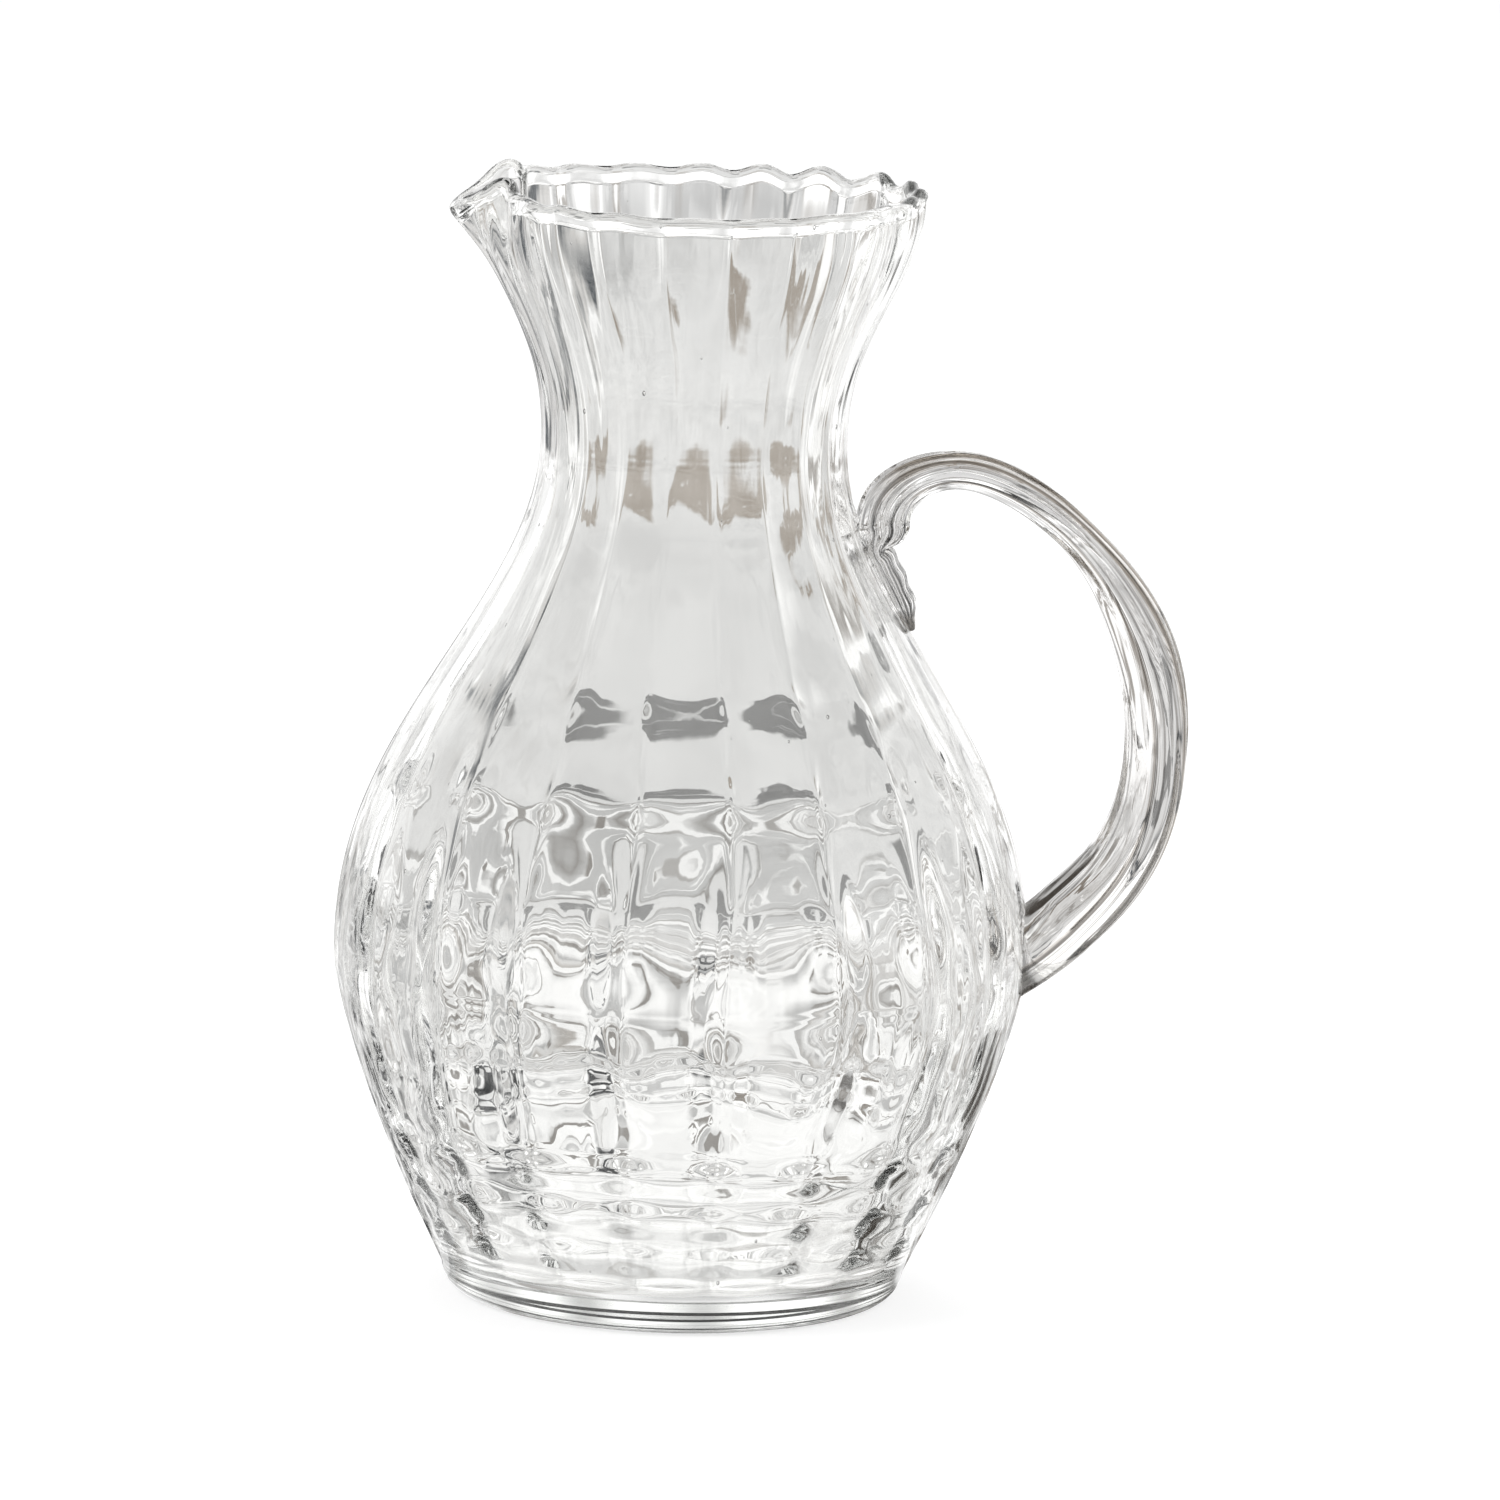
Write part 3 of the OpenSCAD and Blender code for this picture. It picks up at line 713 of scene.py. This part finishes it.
# How pale the floor is in the glass at these distances from the jug in metres: white near it, a
# thin brown ring, the grey table with its edge, and the pale room beyond.
FLOOR_SPAN = 2.0
FLOOR_STOPS = [(0.0, grey(1.15)), (0.27, grey(1.12)), (0.285, grey(0.3, 0.12)), (0.3, grey(0.85)),
               (0.345, grey(0.6, 0.02)), (0.425, grey(0.58)), (0.435, grey(0.25, 0.06)),
               (0.45, grey(0.6)), (0.5, grey(0.52)), (0.508, grey(0.22, 0.05)), (0.516, grey(0.8)),
               (0.9, grey(0.82)), (1.3, grey(0.78)), (1.6, grey(0.85)), (1.9, grey(0.66)),
               (2.0, grey(0.6))]
# Zones of the floor: what each goes by, where it begins and where it is full, in metres.
ZONES = {"near": ("far", 0.42, 0.3), "table": ("far", 0.515, 0.505), "beyond": ("far", 0.35, 0.5),
         "left": ("X", -0.045, -0.06), "right": ("X", 0.03, 0.05),
         "beside": ("off middle", 0.1, 0.2), "in front": ("Y", -0.05, -0.25)}
# Soft clouds on the floor: how many there are in a metre along X and along Y, their detail and
# distortion, the levels of noise at which they begin and are full, and how strong they are there.
# Where the painted light and shade of the caustic cells lies near the jug.
CLOUDS = {"caustic patches": ((20, 20), 2.0, 0.0, 0.46, 0.56, 1.0),
          "haze": ((13, 17), 1.0, 0.4, 0.48, 0.6, 1.0),
          "specks": ((48, 42), 1.0, 0.8, 0.49, 0.53, 1.0),
          # Where the painted shade on the right near the jug lies, which only the glass shows.
          "jug shade": ((26, 20), 2.0, 0.6, 0.42, 0.38, 1.0),
          "pale smears": ((16, 55), 2.0, 0.5, 0.5, 0.62, 1.0),
          "dark smears": ((20, 60), 2.0, 0.5, 0.42, 0.34, 1.0),
          "pools": ((6, 2), 2.0, 0.0, 0.45, 0.6, 0.5),
          "wear": ((15, 40), 2.0, 0.0, 0.25, 0.42, 1.0),
          "fine wear": ((48, 42), 1.0, 0.8, 0.42, 0.49, 1.0)}
# Colours laid over the floor where all of the zones and clouds named with them meet.
LAYERS = [(("near", "haze"), grey(0.55)),
          (("left", "near", "specks"), grey(0.03, -0.15)),
          # Painted shade: warm dark patches on the right near the jug, the dark that it gathers on
          # the paper.
          (("right", "near", "jug shade"), grey(0.2, 0.15)),
          (("table", "pale smears"), grey(1.05)),
          (("table", "dark smears"), grey(0.28, 0.06)),
          (("pools",), grey(0.9))]
# What lies aside of the strip that is seen straight through the jug: few dark things among pale
# ones, by the level of a mottle. Then how that level changes over the floor, and about how many
# patches of it there are in a radian round the jug.
ROOM_STOPS = [(0.35, grey(0.1, -0.1)), (0.4, grey(0.45)), (0.45, grey(0.68, 0.02)),
              (0.5, grey(0.88)), (0.54, grey(1.25)), (0.68, grey(1.2)), (0.76, grey(0.4, 0.06))]
ROOM_CHANGES = [("X", -0.3, 0.2, -0.09, 0.13), ("Y", -0.3, 0.2, 0.05, 0.0),
                ("Y", 1.1, 1.4, 0.0, 0.1)]
SPOKES = 5.5
# Cards laid flat behind the jug and at its sides, which only the glass shows: place, half size and
# how soft the edge is in metres, and colour.
CARDS = [((0.0, 0.6), (0.05, 0.06), 0.006, grey(0.28)),
         ((0.02, 1.17), (0.08, 0.045), 0.01, grey(0.36, 0.13)),
         ((0.12, 1.45), (0.05, 0.13), 0.02, grey(0.34, 0.14)),
         ((0.4, 0.63), (0.07, 0.08), 0.03, grey(0.08, 0.06)),
         ((-0.2, 0.125), (0.035, 0.03), 0.012, grey(0.01, -0.2)),
         ((-0.12, 0.065), (0.035, 0.045), 0.01, grey(0.005, -0.2)),
         ((-0.075, 0.16), (0.03, 0.035), 0.01, grey(0.01, -0.2)),
         ((-0.062, 0.05), (0.02, 0.024), 0.008, grey(0.01, -0.2)),
         ((0.12, 0.08), (0.05, 0.035), 0.012, grey(0.05, 0.15)),
         ((0.07, -0.03), (0.03, 0.02), 0.006, grey(0.05, 0.15))]
# How ragged the cards and the cells are, in metres, how coarse that is, and how many cells there
# are in a metre.
RAGGED, RAGGED_SCALE, CELLS = 0.09, 9.0, 30.0


def studio_floor():
    """A sheet of matt white paper, pressed smooth, with no gloss. The camera sees it white with the
    jug's soft shadow on it. In the glass it is white near the jug, with the light and the dark
    that the jug gathers on it, grey up to the edge of the table, and pale beyond, with the cards
    on it."""
    material = bpy.data.materials.new("studio_paper")
    material.use_nodes = True
    tree = material.node_tree
    tree.nodes.clear()
    place = add(tree, "ShaderNodeTexCoord").outputs["Object"]
    parts = add(tree, "ShaderNodeSeparateXYZ", [place]).outputs
    measures = {"X": parts["X"], "Y": parts["Y"],
                "off middle": add(tree, "ShaderNodeMath", [parts["X"]], operation="ABSOLUTE"),
                "far": add(tree, "ShaderNodeVectorMath", [place], operation="LENGTH")}
    shares = {}
    for name, (measure, start, full) in ZONES.items():
        shares[name] = add(tree, "ShaderNodeMapRange", {
            "Value": measures[measure], "From Min": start, "From Max": full},
            interpolation_type="SMOOTHSTEP")
    for name, (counts, detail, distortion, start, full, strength) in CLOUDS.items():
        stretched = add(tree, "ShaderNodeMapping", {"Vector": place, "Scale": (*counts, 1)})
        noise = add(tree, "ShaderNodeTexNoise", {
            "Vector": stretched, "Scale": 1.0, "Detail": detail, "Distortion": distortion})
        shares[name] = add(tree, "ShaderNodeMapRange", {
            "Value": noise, "From Min": start, "From Max": full, "To Max": strength},
            interpolation_type="SMOOTHSTEP")
    drift = add(tree, "ShaderNodeTexNoise", {"Vector": place, "Scale": RAGGED_SCALE,
                                             "Detail": 2.0})
    ragged = add(tree, "ShaderNodeVectorMath", [drift.outputs["Color"], (RAGGED, RAGGED, 0), place],
                 operation="MULTIPLY_ADD")
    ragged = add(tree, "ShaderNodeVectorMath", [ragged, (RAGGED / 2, RAGGED / 2, 0)],
                 operation="SUBTRACT")

    # Near the jug, bright lines round darker cells: the light that its ribs gather on the paper.
    stretch = add(tree, "ShaderNodeMath", [measures["far"], FLOOR_SPAN], operation="DIVIDE")
    colour = add(tree, "ShaderNodeValToRGB", [stretch],
                 stops=[(p / FLOOR_SPAN, c) for p, c in FLOOR_STOPS])
    cells = add(tree, "ShaderNodeTexVoronoi", {"Vector": ragged, "Scale": CELLS},
                feature="DISTANCE_TO_EDGE")
    cells = add(tree, "ShaderNodeMapRange", {"Value": cells, "From Max": 0.3, "To Min": 1.1,
                                             "To Max": 0.6}, interpolation_type="SMOOTHSTEP")
    amount = add(tree, "ShaderNodeMath", [shares["caustic patches"], shares["near"]], operation="MULTIPLY")
    colour = add(tree, "ShaderNodeMix", [amount, colour, cells], data_type="RGBA",
                 blend_type="MULTIPLY")
    for names, tone in LAYERS:
        amount = shares[names[0]]
        for name in names[1:]:
            amount = add(tree, "ShaderNodeMath", [amount, shares[name]], operation="MULTIPLY")
        colour = add(tree, "ShaderNodeMix", [amount, colour, tone], data_type="RGBA")

    # The room aside, in streaks that point away from the jug.
    spokes = add(tree, "ShaderNodeVectorMath", [place], operation="NORMALIZE")
    spokes = add(tree, "ShaderNodeVectorMath", [spokes, (SPOKES, SPOKES, 0), place],
                 operation="MULTIPLY_ADD")
    mottle = add(tree, "ShaderNodeTexNoise", {"Vector": spokes, "Scale": 1.0, "Detail": 1.5})
    for measure, start, end, low, high in ROOM_CHANGES:
        change = add(tree, "ShaderNodeMapRange", {
            "Value": measures[measure], "From Min": start, "From Max": end, "To Min": low,
            "To Max": high}, interpolation_type="SMOOTHSTEP")
        mottle = add(tree, "ShaderNodeMath", [change, mottle])
    room = add(tree, "ShaderNodeValToRGB", [mottle], stops=ROOM_STOPS)
    aside = add(tree, "ShaderNodeMath", [shares["beside"], shares["in front"]], operation="MAXIMUM")
    aside = add(tree, "ShaderNodeMath", [aside, shares["beyond"]], operation="MULTIPLY")
    colour = add(tree, "ShaderNodeMix", [aside, colour, room], data_type="RGBA")

    # The cards, ragged and worn, and worn finer near the jug on the left.
    near_left = add(tree, "ShaderNodeMath", [shares["near"], shares["left"]], operation="MULTIPLY")
    worn = add(tree, "ShaderNodeMix", [near_left, shares["wear"], shares["fine wear"]],
               data_type="FLOAT")
    at = add(tree, "ShaderNodeSeparateXYZ", [ragged]).outputs
    for middle, half, soft, tone in CARDS:
        over = worn
        for axis, centre, reach in zip("XY", middle, half):
            off = add(tree, "ShaderNodeMath", [at[axis], centre], operation="SUBTRACT")
            off = add(tree, "ShaderNodeMath", [off], operation="ABSOLUTE")
            inside = add(tree, "ShaderNodeMapRange", {
                "Value": off, "From Min": reach + soft, "From Max": reach - soft},
                interpolation_type="SMOOTHSTEP")
            over = add(tree, "ShaderNodeMath", [over, inside], operation="MULTIPLY")
        colour = add(tree, "ShaderNodeMix", [over, colour, tone], data_type="RGBA")

    # The camera sees plain paper, lit by the lamps and lifted to white.
    ray = add(tree, "ShaderNodeLightPath").outputs
    in_glass = add(tree, "ShaderNodeMath", [ray["Is Glossy Ray"], ray["Is Transmission Ray"]],
                   operation="MAXIMUM")
    reflected = add(tree, "ShaderNodeEmission", {"Color": colour, "Strength": in_glass})
    lift = add(tree, "ShaderNodeMath", [ray["Is Camera Ray"], LIFT], operation="MULTIPLY")
    seen = add(tree, "ShaderNodeEmission", {"Color": grey(1.0), "Strength": lift})
    paper = add(tree, "ShaderNodeBsdfDiffuse", {"Color": grey(PAPER)})
    lit = add(tree, "ShaderNodeAddShader", [seen, paper])
    either = add(tree, "ShaderNodeMixShader", [in_glass, lit, reflected])
    add(tree, "ShaderNodeOutputMaterial", {"Surface": either})
    return material


FLOOR_R, FLOOR_SIDES = 6000, 64
floor_rim = [(FLOOR_R * np.cos(t), FLOOR_R * np.sin(t), 0)
             for t in np.linspace(0, TURN, FLOOR_SIDES + 1)[:-1]]
floor_mesh = mesh_of("studio_floor", floor_rim, [list(range(FLOOR_SIDES))], {})
floor = bpy.data.objects.new("studio_floor", floor_mesh)
bpy.context.scene.collection.objects.link(floor)
floor.data.materials.append(studio_floor())


# How bright the world is as a light, and the tent round the stage in the glass, from the horizon
# at 0 to overhead at 1.
WORLD_LIGHT = 0.75
TENT_STOPS = [(0.0, grey(1.35)), (0.3, grey(1.25)), (0.5, grey(1.0)), (0.62, grey(0.4)),
              (0.8, grey(0.06))]


def studio_world():
    """White to the camera. In the glass it is a pale tent with soft upright folds, dark overhead
    and on the camera's side."""
    world = bpy.data.worlds.new("studio_tent")
    bpy.context.scene.world = world
    world.use_nodes = True
    tree = world.node_tree
    tree.nodes.clear()
    look = add(tree, "ShaderNodeTexCoord").outputs["Generated"]
    parts = add(tree, "ShaderNodeSeparateXYZ", [look]).outputs
    height = add(tree, "ShaderNodeValToRGB", [parts["Z"]], stops=TENT_STOPS)
    stretched = add(tree, "ShaderNodeMapping", {"Vector": look, "Scale": (1, 1, 0.25)})
    folds = add(tree, "ShaderNodeTexNoise", {"Vector": stretched, "Scale": 3.0, "Detail": 1.0})
    folds = add(tree, "ShaderNodeMapRange", {"Value": folds, "From Min": 0.4, "From Max": 0.6,
                                             "To Min": 0.6, "To Max": 1.25})
    behind = add(tree, "ShaderNodeMapRange", {"Value": parts["Y"], "From Min": -0.1,
                                              "From Max": 0.6, "To Min": 0.25})
    lifted = add(tree, "ShaderNodeMapRange", {"Value": parts["Z"], "From Min": 0.15,
                                              "From Max": 0.45})
    dark = add(tree, "ShaderNodeMix", [lifted, 1.0, behind], data_type="FLOAT")
    tent = add(tree, "ShaderNodeMath", [height, folds], operation="MULTIPLY")
    tent = add(tree, "ShaderNodeMath", [tent, dark], operation="MULTIPLY")
    ray = add(tree, "ShaderNodeLightPath").outputs
    in_glass = add(tree, "ShaderNodeMath", [ray["Is Glossy Ray"], ray["Is Transmission Ray"]],
                   operation="MAXIMUM")
    lit = add(tree, "ShaderNodeMix", [in_glass, WORLD_LIGHT, tent], data_type="FLOAT")
    seen = add(tree, "ShaderNodeMix", [ray["Is Camera Ray"], lit, 1.0], data_type="FLOAT")
    light = add(tree, "ShaderNodeBackground", {"Color": grey(1.0), "Strength": seen})
    add(tree, "ShaderNodeOutputWorld", {"Surface": light})


studio_world()


def soft_box(name, place, towards, size, power):
    """A rectangular lamp of so many watts, which the glass itself doesn't show."""
    lamp = bpy.data.lights.new(name, "AREA")
    lamp.shape, lamp.size, lamp.size_y, lamp.energy = "RECTANGLE", size[0], size[1], power
    holder = bpy.data.objects.new(name, lamp)
    bpy.context.scene.collection.objects.link(holder)
    aimed = (Vector(towards) - Vector(place)).to_track_quat("-Z", "Y").to_matrix().to_4x4()
    holder.matrix_world = Matrix.Translation(place) @ aimed
    holder.visible_glossy = holder.visible_transmission = False


# Where each stands, what it is turned to and its size, in metres, and its watts.
soft_box("soft_box_left", (-1.1, -0.7, 1.0), (0, 0, 0.12), (0.7, 1.0), 14)
soft_box("soft_box_right", (1.2, -0.3, 0.9), (0, 0, 0.12), (0.4, 1.0), 8)
soft_box("soft_box_over", (0, 0.4, 1.5), (0, 0, 0.1), (1.2, 0.8), 14)

# The camera

# Where the photo was taken from: distance and aim in millimetres, tilt down, roll, and the scale of
# its frame at the jug.
VIEW_DISTANCE, VIEW_TILT, VIEW_ROLL = 2309, np.radians(10.06), np.radians(1.608)
VIEW_AIM = np.array([13.826, 0, 118.683])
PIXELS_PER_MM, FRAME_PIXELS, SENSOR = 4.645, 1500, 36

back = np.array([0, -np.cos(VIEW_TILT), np.sin(VIEW_TILT)])
up = np.array([0, np.sin(VIEW_TILT), np.cos(VIEW_TILT)])
right = np.array([1, 0, 0])
view = Matrix(np.column_stack([
    right * np.cos(VIEW_ROLL) + up * np.sin(VIEW_ROLL),
    up * np.cos(VIEW_ROLL) - right * np.sin(VIEW_ROLL), back]).tolist()).to_4x4()
view.translation = (VIEW_AIM + VIEW_DISTANCE * back) * MM
camera = bpy.data.objects.new("camera", bpy.data.cameras.new("camera"))
camera.data.sensor_width = SENSOR
camera.data.lens = PIXELS_PER_MM * VIEW_DISTANCE * SENSOR / FRAME_PIXELS
camera.matrix_world = view
bpy.context.scene.collection.objects.link(camera)
bpy.context.scene.camera = camera
bpy.context.scene.view_settings.view_transform = "Standard"
# Light is thrown back and forth many times inside ribbed glass before it leaves it.
BOUNCES = 32
for kind in ("max", "glossy", "transmission"):
    setattr(bpy.context.scene.cycles, kind + "_bounces", BOUNCES)
